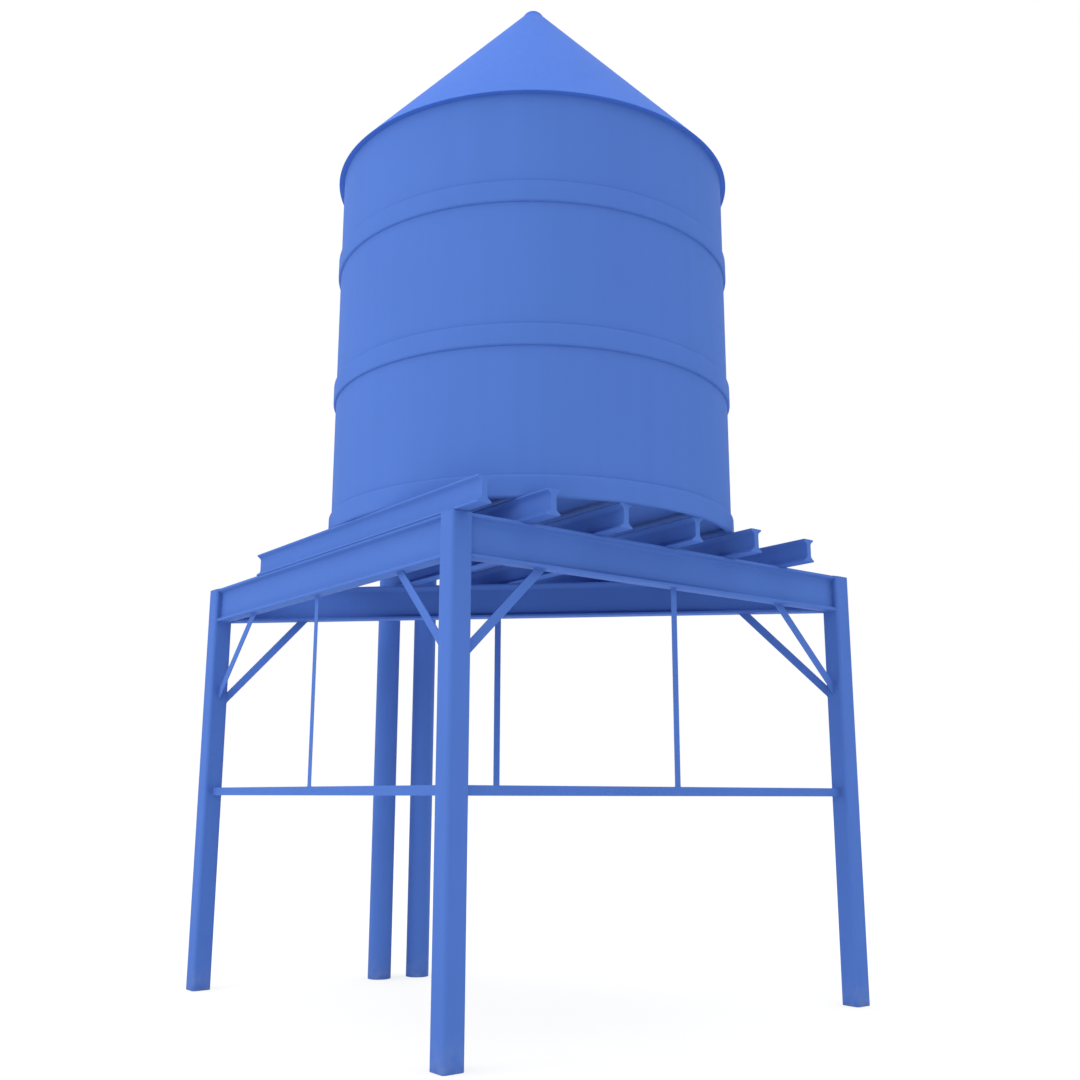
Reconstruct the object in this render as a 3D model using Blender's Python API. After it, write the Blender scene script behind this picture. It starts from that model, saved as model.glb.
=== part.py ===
# Water tower: a round steel tank with a conical roof on a three-legged girder stand.
# Metres, +Z up. Plan sizes are measured from the centre of the front leg: +X runs to the
# right leg and +Y to the left leg. The part is then set down with the middle of its
# bounding box over the origin and its feet on z = 0.
import bpy
import bmesh
from math import asin, cos, sin, pi, radians, sqrt, hypot
from mathutils import Matrix, Vector

# Clearance between pieces that touch
GAP = 0.0003

# Stand
LEG_SPACING = 3.952
LEG_WIDTH = 0.168
LEG_CORNER_RADIUS = 0.028
LEG_HEIGHT = 3.518

GIRDER_DEPTH = 0.300
GIRDER_FLANGE = 0.128
GIRDER_WEB = 0.046
GIRDER_TIP = 0.020
GIRDER_ROOT = 0.040

# Fillet between web and flange, as shares of the flange's slope
FILLET_RUN = 0.35
FILLET_DROP = 0.12
FILLET_CLIMB = 0.45

JOIST_DEPTH = 0.184
JOIST_FLANGE = 0.111
JOIST_WEB = 0.044
JOIST_TIP = 0.012
JOIST_ROOT = 0.034
JOIST_NEAR_END = -0.352
JOIST_FAR_END = 3.030
JOIST_LINES = (-0.016, 0.560, 1.219, 1.933, 2.579, 3.203)

BAR_WIDTH = 0.067
BAR_THICKNESS = 0.010
STRUT_BOTTOM = 1.653

# Height of each knee brace's middle line, carried on to the axis of its leg, by side and leg
BRACES_AT = {
    "front_left": {"front": 2.500, "left": 2.464},
    "front_right": {"front": 2.500, "right": 2.464},
    "back": {"left": 2.418, "right": 2.428},
}

HANGER_WIDTH = 0.055
HANGER_THICKNESS = 0.005

# Place of each hanger as a share of the distance between leg centres
HANGERS_AT = {"front_left": 0.506, "front_right": 0.508, "back": 0.468}

# Tank
TANK_X = 1.593
TANK_Y = 1.269
TANK_RADIUS = 1.6656
TANK_BOTTOM_THICKNESS = 0.020
BOTTOM_RECESS = 0.060
WALL_THICKNESS = 0.012
WALL_SEGMENTS = 8
WALL_TOP = 6.8732

BAND_PROJECTION = 0.0198
BAND_EDGE_RADIUS = 0.012
UPPER_BAND_BOTTOM = 5.978
MIDDLE_BAND_BOTTOM = 4.843
BAND_HEIGHT = 0.1705

EAVE_RADIUS = 1.7113
EAVE_RIM = 0.004
ROOF_RISE = 1.953
ROOF_THICKNESS = 0.010
ROOF_FLAT_RADIUS = 0.063
SOFFIT_WIDTH = 0.1115
CAP_LIP_RADIUS = 0.0975
CAP_TOP = 8.7855
CAP_SPHERE_RADIUS = 0.1066
CAP_STEPS = 6

# Riser pipes, behind the tank
PIPE_RADIUS = 0.106
INLET_AT = (1.591, 3.581)
OUTLET_AT = (1.950, 3.496)
ELBOW_RADIUS = 0.305
BRANCH_HEIGHT = 4.290

# Facets around one full turn
TANK_FACETS = 72
PIPE_FACETS = 24
ELBOW_STEPS = 8
BAND_EDGE_STEPS = 3
CORNER_STEPS = 4

BLUE = (0.105, 0.220, 0.760, 1.0)

TANK_BASE = LEG_HEIGHT + GAP + JOIST_DEPTH + GAP
BOTTOM_HEIGHT = TANK_BASE + BOTTOM_RECESS
X_MIDDLE = (TANK_X - EAVE_RADIUS + LEG_SPACING + LEG_WIDTH / 2) / 2
Y_MIDDLE = (TANK_Y - EAVE_RADIUS + LEG_SPACING + LEG_WIDTH / 2) / 2


def at(x, y, z=0.0):
    """A plan position from the front leg, in the part's own frame."""
    return Vector((x - X_MIDDLE, y - Y_MIDDLE, z))


def paint(name):
    """Matte blue coating of one piece."""
    material = bpy.data.materials.new(name + "_paint")
    material.use_nodes = True
    shader = material.node_tree.nodes["Principled BSDF"]
    shader.inputs["Base Color"].default_value = BLUE
    shader.inputs["Roughness"].default_value = 0.55
    shader.inputs["Metallic"].default_value = 0.0
    return material


def add_object(name, mesh_builder, position, turn=0.0, smooth=False):
    """A named object from a bmesh, turned about +Z and set at its position."""
    bmesh.ops.recalc_face_normals(mesh_builder, faces=mesh_builder.faces)
    mesh = bpy.data.meshes.new(name)
    mesh_builder.to_mesh(mesh)
    mesh_builder.free()
    if smooth:
        mesh.shade_smooth()
        mesh.set_sharp_from_angle(angle=radians(30))
    mesh.materials.append(paint(name))
    piece = bpy.data.objects.new(name, mesh)
    piece.matrix_world = Matrix.Translation(position) @ Matrix.Rotation(turn, 4, "Z")
    bpy.context.collection.objects.link(piece)
    return piece


def loft(rings):
    """A closed skin through rings of points, capped at both ends."""
    builder = bmesh.new()
    loops = [[builder.verts.new(point) for point in ring] for ring in rings]
    for here, there in zip(loops, loops[1:]):
        for j in range(len(here)):
            k = (j + 1) % len(here)
            builder.faces.new((here[j], here[k], there[k], there[j]))
    builder.faces.new(loops[0])
    builder.faces.new(loops[-1])
    return builder


def turned(profile, facets, start=0.0, sweep=2 * pi):
    """Turn a profile of (radius, height) about +Z. A zero radius lies on the axis."""
    full = abs(sweep - 2 * pi) < 1e-9
    count = facets if full else facets + 1
    angles = [start + sweep * i / facets for i in range(count)]
    builder = bmesh.new()
    columns = []
    axis_points = {j: builder.verts.new((0, 0, z)) for j, (r, z) in enumerate(profile) if r == 0}
    for angle in angles:
        column = []
        for j, (r, z) in enumerate(profile):
            if j in axis_points:
                column.append(axis_points[j])
            else:
                column.append(builder.verts.new((r * cos(angle), r * sin(angle), z)))
        columns.append(column)
    for i in range(facets):
        here, there = columns[i], columns[(i + 1) % len(columns)]
        for j in range(len(profile)):
            k = (j + 1) % len(profile)
            corners = []
            for vert in (here[j], here[k], there[k], there[j]):
                if vert not in corners:
                    corners.append(vert)
            if len(corners) > 2:
                builder.faces.new(corners)
    if not full:
        builder.faces.new(columns[0])
        builder.faces.new(columns[-1])
    return builder


def rounded_square(width, radius):
    """Outline of a square with rounded corners."""
    inner = width / 2 - radius
    outline = []
    for quarter, (sx, sy) in enumerate(((1, 1), (-1, 1), (-1, -1), (1, -1))):
        for i in range(CORNER_STEPS + 1):
            angle = (quarter + i / CORNER_STEPS) * pi / 2
            outline.append((sx * inner + radius * cos(angle), sy * inner + radius * sin(angle)))
    return outline


def i_section(depth, flange, web, tip, root):
    """Right half of an I section, from its foot to its head, as (across, height)."""
    rise = root - tip
    lower = [(0.0, 0.0), (flange / 2, 0.0), (flange / 2, tip),
             (web / 2 + FILLET_RUN * rise, root - FILLET_DROP * rise),
             (web / 2, root + FILLET_CLIMB * rise)]
    return lower + [(across, depth - height) for across, height in reversed(lower)]


def i_beam(name, section, length, position, turn, mitre=0.0):
    """An I beam along its own +X. A mitre of 1 slants both ends by 45 degrees in plan."""
    outline = section + [(-across, height) for across, height in reversed(section[1:-1])]
    near = [(-mitre * y, y, z) for y, z in outline]
    far = [(length + mitre * y, y, z) for y, z in outline]
    return add_object(name, loft([near, far]), position, turn)


def oblong(start, end, low, high):
    """Corners of an upright oblong, as (along, height)."""
    return [(start, low), (end, low), (end, high), (start, high)]


def plate(name, corners, thickness, position, turn):
    """A flat plate from corners (along, height), centred on its own X-Z plane."""
    rings = [[(x, side * thickness / 2, z) for x, z in corners] for side in (-1, 1)]
    return add_object(name, loft(rings), position, turn)


def rod(name, radius, start, end, facets):
    """A round bar between two points."""
    along = (end - start).normalized()
    side = along.orthogonal().normalized()
    across = along.cross(side)
    rings = []
    for centre in (start, end):
        ring = []
        for i in range(facets):
            angle = 2 * pi * (i + 0.5) / facets
            ring.append(centre + radius * (cos(angle) * side + sin(angle) * across))
        rings.append(ring)
    return add_object(name, loft(rings), Vector((0, 0, 0)), smooth=True)


def leg_face_distance(diagonal):
    """From a leg's axis to its face, or to its rounded corner on the diagonal."""
    if diagonal:
        return (LEG_WIDTH / 2 - LEG_CORNER_RADIUS) * sqrt(2) + LEG_CORNER_RADIUS
    return LEG_WIDTH / 2


def build_legs():
    """Three box columns with closed ends."""
    outline = rounded_square(LEG_WIDTH, LEG_CORNER_RADIUS)
    rings = [[(x, y, z) for x, y in outline] for z in (0.0, LEG_HEIGHT)]
    feet = {"front_leg": (0.0, 0.0), "left_leg": (0.0, LEG_SPACING), "right_leg": (LEG_SPACING, 0.0)}
    for name, (x, y) in feet.items():
        add_object(name, loft(rings), at(x, y), smooth=True)


# The stand's three sides: start, direction, distance between leg centres, on the diagonal or not
SIDES = {
    "front_left": ((0.0, 0.0), pi / 2, LEG_SPACING, False),
    "front_right": ((0.0, 0.0), 0.0, LEG_SPACING, False),
    "back": ((0.0, LEG_SPACING), -pi / 4, LEG_SPACING * sqrt(2), True),
}


def along_side(side, distance, height=0.0):
    """A point on the centre line of one side of the stand."""
    (x, y), turn, _, _ = SIDES[side]
    return at(x + distance * cos(turn), y + distance * sin(turn), height)


def build_girders():
    """Deep I beams between the legs. The back one is mitred to lie against the legs' side faces."""
    section = i_section(GIRDER_DEPTH, GIRDER_FLANGE, GIRDER_WEB, GIRDER_TIP, GIRDER_ROOT)
    for side, (_, turn, span, diagonal) in SIDES.items():
        seat = (LEG_WIDTH / 2 + GAP) * (sqrt(2) if diagonal else 1.0)
        foot = along_side(side, seat, LEG_HEIGHT - GIRDER_DEPTH)
        i_beam(side + "_girder", section, span - 2 * seat, foot, turn, mitre=1.0 if diagonal else 0.0)


def build_joists():
    """Six I beams laid over the girders, parallel to the front left side."""
    section = i_section(JOIST_DEPTH, JOIST_FLANGE, JOIST_WEB, JOIST_TIP, JOIST_ROOT)
    for i, x in enumerate(JOIST_LINES):
        foot = at(x, JOIST_NEAR_END, LEG_HEIGHT + GAP)
        i_beam("joist_%d" % (i + 1), section, JOIST_FAR_END - JOIST_NEAR_END, foot, pi / 2)


def build_struts_and_hangers():
    """Flat bars from leg to leg at mid height, each hung from its girder by a thin flat."""
    strut_top = STRUT_BOTTOM + BAR_WIDTH
    hanger_top = LEG_HEIGHT - GIRDER_DEPTH - GAP
    for side, (_, turn, span, diagonal) in SIDES.items():
        seat = leg_face_distance(diagonal) + GAP
        strut = oblong(seat, span - seat, STRUT_BOTTOM, strut_top)
        plate(side + "_strut", strut, BAR_THICKNESS, along_side(side, 0.0), turn)
        hanger = oblong(-HANGER_WIDTH / 2, HANGER_WIDTH / 2, strut_top + GAP, hanger_top)
        middle = along_side(side, span * HANGERS_AT[side])
        plate(side + "_hanger", hanger, HANGER_THICKNESS, middle, turn)


def build_knee_braces():
    """Flat bars at 45 degrees, cut plumb at the leg and level under the girder."""
    half = BAR_WIDTH / sqrt(2)
    top = LEG_HEIGHT - GIRDER_DEPTH - GAP
    for side, (_, turn, span, diagonal) in SIDES.items():
        seat = leg_face_distance(diagonal) + GAP
        for (leg, height), foot, facing in zip(BRACES_AT[side].items(), (0.0, span), (turn, turn + pi)):
            low, high = height - half, height + half
            corners = [(seat, low + seat), (top - low, top), (top - high, top), (seat, high + seat)]
            name = "%s_leg_brace_%s" % (leg, side)
            plate(name, corners, BAR_THICKNESS, along_side(side, foot), facing)


def band_profile(bottom, height):
    """A hoop's section: flat face with rounded upper and lower edges."""
    inner = TANK_RADIUS + GAP
    outer = inner + BAND_PROJECTION
    r = BAND_EDGE_RADIUS
    lower = []
    for i in range(BAND_EDGE_STEPS + 1):
        angle = pi / 2 * i / BAND_EDGE_STEPS
        lower.append((outer - r + r * sin(angle), bottom + r - r * cos(angle)))
    upper = [(x, 2 * bottom + height - z) for x, z in reversed(lower)]
    return [(inner, bottom)] + lower + upper + [(inner, bottom + height)]


def build_tank():
    """Bottom plate, wall in segments, three hoops, conical roof and its cap.

    The wall and the bottom hoop stand on the joists. The bottom plate lies inside the wall,
    a little above its foot.
    """
    centre = at(TANK_X, TANK_Y)
    inner = TANK_RADIUS - WALL_THICKNESS
    shelf = BOTTOM_HEIGHT + TANK_BOTTOM_THICKNESS
    rim = inner - GAP
    disc = [(0.0, BOTTOM_HEIGHT), (rim, BOTTOM_HEIGHT), (rim, shelf), (0.0, shelf)]
    add_object("tank_bottom", turned(disc, TANK_FACETS), centre, smooth=True)

    foot = TANK_BASE
    wall = [(inner, foot), (TANK_RADIUS, foot), (TANK_RADIUS, WALL_TOP), (inner, WALL_TOP)]
    seam = GAP / TANK_RADIUS
    share = 2 * pi / WALL_SEGMENTS
    for i in range(WALL_SEGMENTS):
        start = i * share + seam / 2
        builder = turned(wall, TANK_FACETS // WALL_SEGMENTS, start, share - seam)
        add_object("tank_wall_%d" % (i + 1), builder, centre, smooth=True)

    for name, bottom in (("bottom_band", TANK_BASE), ("middle_band", MIDDLE_BAND_BOTTOM),
                         ("upper_band", UPPER_BAND_BOTTOM)):
        hoop = turned(band_profile(bottom, BAND_HEIGHT), TANK_FACETS)
        add_object(name, hoop, centre, smooth=True)
    build_roof(centre)


def build_roof(centre):
    """A conical sheet roof on a flat soffit ring, with a low dome over its cut tip."""
    eave = WALL_TOP + GAP
    rim = eave + EAVE_RIM
    slope = ROOF_RISE / EAVE_RADIUS
    lean = hypot(1.0, slope)
    drop = ROOF_THICKNESS * lean
    tip = ROOF_FLAT_RADIUS
    soffit = EAVE_RADIUS - SOFFIT_WIDTH

    def skin(radius):
        return rim + (EAVE_RADIUS - radius) * slope

    outline = [(EAVE_RADIUS, eave), (EAVE_RADIUS, rim), (tip, skin(tip)), (0.0, skin(tip)),
               (0.0, skin(tip) - drop), (tip, skin(tip) - drop), (soffit, skin(soffit) - drop),
               (soffit, eave)]
    add_object("roof_cone", turned(outline, TANK_FACETS), centre, smooth=True)

    lift = GAP * lean
    lip = skin(CAP_LIP_RADIUS) + lift
    middle = CAP_TOP - CAP_SPHERE_RADIUS
    low = asin((lip - middle) / CAP_SPHERE_RADIUS)
    cap = [(0.0, skin(tip) + lift), (tip, skin(tip) + lift), (CAP_LIP_RADIUS, lip)]
    for i in range(CAP_STEPS):
        rise = low + (pi / 2 - low) * i / CAP_STEPS
        cap.append((CAP_SPHERE_RADIUS * cos(rise), middle + CAP_SPHERE_RADIUS * sin(rise)))
    cap.append((0.0, CAP_TOP))
    add_object("roof_cap", turned(cap, TANK_FACETS), centre, smooth=True)


def wall_reach(x):
    """How far back the tank's wall lies, on a line across at x."""
    return TANK_Y + sqrt(TANK_RADIUS ** 2 - (x - TANK_X) ** 2)


def build_branch(name, x, start_y):
    """A level pipe into the back of the tank, its end shaped to the round wall."""
    start, end = [], []
    for j in range(PIPE_FACETS):
        around = 2 * pi * (j + 0.5) / PIPE_FACETS
        across = x + PIPE_RADIUS * cos(around)
        rise = BRANCH_HEIGHT + PIPE_RADIUS * sin(around)
        start.append(at(across, start_y, rise))
        end.append(at(across, wall_reach(across) + GAP, rise))
    builder = bmesh.new()
    near = [builder.verts.new(point) for point in start]
    far = [builder.verts.new(point) for point in end]
    builder.faces.new(near)
    for j in range(PIPE_FACETS):
        k = (j + 1) % PIPE_FACETS
        builder.faces.new((near[j], near[k], far[k], far[j]))
    for j in range(PIPE_FACETS // 2 - 1):
        builder.faces.new((far[j], far[j + 1], far[-j - 2], far[-j - 1]))
    add_object(name, builder, Vector((0, 0, 0)), smooth=True)


def build_risers():
    """Two upright pipes, each turned by an elbow into the back of the tank's lowest course."""
    bend = BRANCH_HEIGHT - ELBOW_RADIUS
    for name, (x, y) in (("inlet", INLET_AT), ("outlet", OUTLET_AT)):
        rod(name + "_riser", PIPE_RADIUS, at(x, y), at(x, y, bend - GAP), PIPE_FACETS)
        rings = []
        for i in range(ELBOW_STEPS + 1):
            angle = pi / 2 * i / ELBOW_STEPS
            ring = []
            for j in range(PIPE_FACETS):
                around = 2 * pi * (j + 0.5) / PIPE_FACETS
                across = PIPE_RADIUS * sin(around)
                reach = ELBOW_RADIUS + PIPE_RADIUS * cos(around)
                ring.append((across, reach * cos(angle) - ELBOW_RADIUS, reach * sin(angle)))
            rings.append(ring)
        add_object(name + "_elbow", loft(rings), at(x, y, bend), smooth=True)
        build_branch(name + "_branch", x, y - ELBOW_RADIUS - GAP)


def main():
    """Build every piece in an empty scene."""
    for old in list(bpy.data.objects):
        bpy.data.objects.remove(old, do_unlink=True)
    build_legs()
    build_girders()
    build_joists()
    build_struts_and_hangers()
    build_knee_braces()
    build_tank()
    build_risers()


main()
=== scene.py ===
"""A blue steel water tower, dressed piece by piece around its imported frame.

All lengths are in metres, in the frame's own axes: the feet stand on z = 0, +X runs from the
front leg to the right leg and +Y from the front leg to the left leg.
"""
import logging
from dataclasses import dataclass
from enum import Enum
from math import asin, ceil, cos, hypot, pi, radians, sin, sqrt
from typing import Iterable, Sequence

import bmesh
import bpy
from mathutils import Matrix, Vector


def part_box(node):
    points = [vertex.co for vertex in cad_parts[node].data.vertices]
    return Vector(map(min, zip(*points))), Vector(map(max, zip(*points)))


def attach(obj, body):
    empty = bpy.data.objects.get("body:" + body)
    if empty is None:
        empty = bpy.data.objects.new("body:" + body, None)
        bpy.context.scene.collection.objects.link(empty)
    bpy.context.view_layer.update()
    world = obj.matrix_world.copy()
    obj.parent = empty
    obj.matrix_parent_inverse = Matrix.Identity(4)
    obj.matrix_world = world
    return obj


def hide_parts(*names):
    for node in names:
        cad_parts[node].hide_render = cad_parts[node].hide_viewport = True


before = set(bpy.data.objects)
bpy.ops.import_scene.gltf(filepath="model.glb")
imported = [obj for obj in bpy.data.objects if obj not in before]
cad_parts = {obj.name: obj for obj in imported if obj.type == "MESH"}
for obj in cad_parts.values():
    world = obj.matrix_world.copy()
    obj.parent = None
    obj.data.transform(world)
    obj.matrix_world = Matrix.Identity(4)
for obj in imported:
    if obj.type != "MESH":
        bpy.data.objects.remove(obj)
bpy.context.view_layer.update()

log = logging.getLogger("water_tower")

Section = list[tuple[float, float]]
Path = list[Vector]

BODY = "root"
SHARP_ANGLE = radians(32)

# A Mix node's colour sockets: the share, the colour under it and the one over it
MIX_SHARE, MIX_UNDER, MIX_OVER, MIX_RESULT = 0, 6, 7, 2


# Shader groups


class Effects:
    """The surface effects that several finishes share, each one shader node group."""

    _built: dict[str, bpy.types.NodeTree] = {}

    @classmethod
    def _new(
        cls,
        name: str,
        inputs: Sequence[tuple[str, str, object]],
        outputs: Sequence[tuple[str, str]],
    ) -> bpy.types.NodeTree:
        """Make an empty group with named sockets.

        Args:
            name: The group's name.
            inputs: Name, socket type and default value of each input; None leaves the default.
            outputs: Name and socket type of each output.

        Returns:
            The new node tree, with its input and output nodes in place.
        """
        tree = bpy.data.node_groups.new(name, "ShaderNodeTree")
        for label, kind, value in inputs:
            socket = tree.interface.new_socket(name=label, in_out="INPUT", socket_type=kind)
            if value is not None:
                socket.default_value = value
        for label, kind in outputs:
            tree.interface.new_socket(name=label, in_out="OUTPUT", socket_type=kind)
        tree.nodes.new("NodeGroupInput")
        tree.nodes.new("NodeGroupOutput")
        return tree

    @classmethod
    def _ends(cls, tree: bpy.types.NodeTree) -> tuple[bpy.types.Node, bpy.types.Node]:
        """The group's input node and output node.

        Args:
            tree: A group that _new made.

        Returns:
            The input node and the output node.
        """
        found = {node.bl_idname: node for node in tree.nodes}
        return found["NodeGroupInput"], found["NodeGroupOutput"]

    @classmethod
    def grain(cls) -> bpy.types.NodeTree:
        """Fine texture of a sprayed coat: an orange peel over a longer roller wave.

        Returns:
            A group from Vector, Grain Size and Wave Share to Height and Tone.
        """
        if "coat_grain" not in cls._built:
            tree = cls._new(
                "coat_grain",
                [
                    ("Vector", "NodeSocketVector", None),
                    ("Grain Size", "NodeSocketFloat", 0.004),
                    ("Wave Share", "NodeSocketFloat", 0.5),
                ],
                [("Height", "NodeSocketFloat"), ("Tone", "NodeSocketFloat")],
            )
            source, sink = cls._ends(tree)
            per_metre = Wiring.maths(tree, "DIVIDE", 1.0, source.outputs["Grain Size"])
            peel = Wiring.noise(tree, source.outputs["Vector"], per_metre, detail=3.0)
            coarse = Wiring.maths(tree, "MULTIPLY", per_metre, 0.11)
            wave = Wiring.noise(tree, source.outputs["Vector"], coarse, detail=2.0)
            share = Wiring.maths(tree, "MULTIPLY", wave, source.outputs["Wave Share"])
            tree.links.new(Wiring.maths(tree, "ADD", peel, share), sink.inputs["Height"])
            tree.links.new(wave, sink.inputs["Tone"])
            cls._built["coat_grain"] = tree
        return cls._built["coat_grain"]

    @classmethod
    def weathering(cls) -> bpy.types.NodeTree:
        """Broad cloudy tone and faint upright rain marks.

        Returns:
            A group from Vector, Colour, Cloud Amount and Streak Amount to Colour.
        """
        if "coat_weathering" not in cls._built:
            tree = cls._new(
                "coat_weathering",
                [
                    ("Vector", "NodeSocketVector", None),
                    ("Colour", "NodeSocketColor", None),
                    ("Cloud Amount", "NodeSocketFloat", 0.05),
                    ("Streak Amount", "NodeSocketFloat", 0.05),
                ],
                [("Colour", "NodeSocketColor")],
            )
            source, sink = cls._ends(tree)
            cloud = Wiring.noise(tree, source.outputs["Vector"], 1.3, detail=4.0)
            upright = Wiring.scaled(tree, source.outputs["Vector"], (9.0, 9.0, 0.35))
            streak = Wiring.noise(tree, upright, 1.0, detail=3.0)
            total = Wiring.maths(
                tree,
                "ADD",
                Wiring.around_zero(tree, cloud, source.outputs["Cloud Amount"]),
                Wiring.around_zero(tree, streak, source.outputs["Streak Amount"]),
            )
            gain = Wiring.maths(tree, "ADD", total, 1.0)
            scale = tree.nodes.new("ShaderNodeVectorMath")
            scale.operation = "SCALE"
            tree.links.new(source.outputs["Colour"], scale.inputs[0])
            tree.links.new(gain, scale.inputs["Scale"])
            tree.links.new(scale.outputs["Vector"], sink.inputs["Colour"])
            cls._built["coat_weathering"] = tree
        return cls._built["coat_weathering"]

    @classmethod
    def painted_shade(cls) -> bpy.types.NodeTree:
        """Painted shade: darkens inside corners and under ledges by how hidden they are, in uneven
        patches.

        Returns:
            A group from Vector, Reach and Amount to Mask.
        """
        if "painted_corner_shade" not in cls._built:
            tree = cls._new(
                "painted_corner_shade",
                [
                    ("Vector", "NodeSocketVector", None),
                    ("Reach", "NodeSocketFloat", 0.15),
                    ("Amount", "NodeSocketFloat", 0.4),
                ],
                [("Mask", "NodeSocketFloat")],
            )
            source, sink = cls._ends(tree)
            # Painted shade from ambient occlusion: the more hidden a point is, the stronger the
            # mask
            shelter = tree.nodes.new("ShaderNodeAmbientOcclusion")
            shelter.samples = 8
            tree.links.new(source.outputs["Reach"], shelter.inputs["Distance"])
            hidden = Wiring.maths(tree, "SUBTRACT", 1.0, shelter.outputs["AO"])
            patchy = Wiring.noise(tree, source.outputs["Vector"], 5.0, detail=3.0)
            patchy = Wiring.maths(tree, "ADD", Wiring.around_zero(tree, patchy, 0.5), 1.0)
            mask = Wiring.maths(tree, "MULTIPLY", hidden, patchy)
            mask = Wiring.maths(tree, "MULTIPLY", mask, source.outputs["Amount"], clamp=True)
            tree.links.new(mask, sink.inputs["Mask"])
            cls._built["painted_corner_shade"] = tree
        return cls._built["painted_corner_shade"]

    @classmethod
    def edge_wear_and_highlight(cls) -> bpy.types.NodeTree:
        """Rubbed outer edges, lightened as worn paint and as a painted highlight, found where the
        rounded normal leaves the true one.

        Returns:
            A group from Vector, Width and Amount to Mask.
        """
        if "edge_wear_and_highlight" not in cls._built:
            tree = cls._new(
                "edge_wear_and_highlight",
                [
                    ("Vector", "NodeSocketVector", None),
                    ("Width", "NodeSocketFloat", 0.006),
                    ("Amount", "NodeSocketFloat", 0.3),
                ],
                [("Mask", "NodeSocketFloat")],
            )
            source, sink = cls._ends(tree)
            rounded = tree.nodes.new("ShaderNodeBevel")
            rounded.samples = 4
            tree.links.new(source.outputs["Width"], rounded.inputs["Radius"])
            true = tree.nodes.new("ShaderNodeNewGeometry")
            match = tree.nodes.new("ShaderNodeVectorMath")
            match.operation = "DOT_PRODUCT"
            tree.links.new(rounded.outputs["Normal"], match.inputs[0])
            tree.links.new(true.outputs["Normal"], match.inputs[1])
            edge = Wiring.ramped(tree, match.outputs["Value"], 0.995, 0.90)
            chips = Wiring.noise(tree, source.outputs["Vector"], 38.0, detail=4.0)
            chips = Wiring.ramped(tree, chips, 0.40, 0.62)
            mask = Wiring.maths(tree, "MULTIPLY", edge, chips)
            mask = Wiring.maths(tree, "MULTIPLY", mask, source.outputs["Amount"], clamp=True)
            tree.links.new(mask, sink.inputs["Mask"])
            cls._built["edge_wear_and_highlight"] = tree
        return cls._built["edge_wear_and_highlight"]

    @classmethod
    def ground_dust(cls) -> bpy.types.NodeTree:
        """Dust thrown up from the ground, thinning with height.

        Returns:
            A group from Vector, Height and Amount to Mask.
        """
        if "ground_dust" not in cls._built:
            tree = cls._new(
                "ground_dust",
                [
                    ("Vector", "NodeSocketVector", None),
                    ("Height", "NodeSocketFloat", 0.35),
                    ("Amount", "NodeSocketFloat", 0.3),
                ],
                [("Mask", "NodeSocketFloat")],
            )
            source, sink = cls._ends(tree)
            parts = tree.nodes.new("ShaderNodeSeparateXYZ")
            tree.links.new(source.outputs["Vector"], parts.inputs[0])
            level = Wiring.maths(tree, "DIVIDE", parts.outputs["Z"], source.outputs["Height"])
            near = Wiring.ramped(tree, level, 1.0, 0.0)
            near = Wiring.maths(tree, "POWER", near, 2.0)
            patchy = Wiring.noise(tree, source.outputs["Vector"], 14.0, detail=4.0)
            patchy = Wiring.ramped(tree, patchy, 0.30, 0.65)
            mask = Wiring.maths(tree, "MULTIPLY", near, patchy)
            mask = Wiring.maths(tree, "MULTIPLY", mask, source.outputs["Amount"], clamp=True)
            tree.links.new(mask, sink.inputs["Mask"])
            cls._built["ground_dust"] = tree
        return cls._built["ground_dust"]


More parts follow.
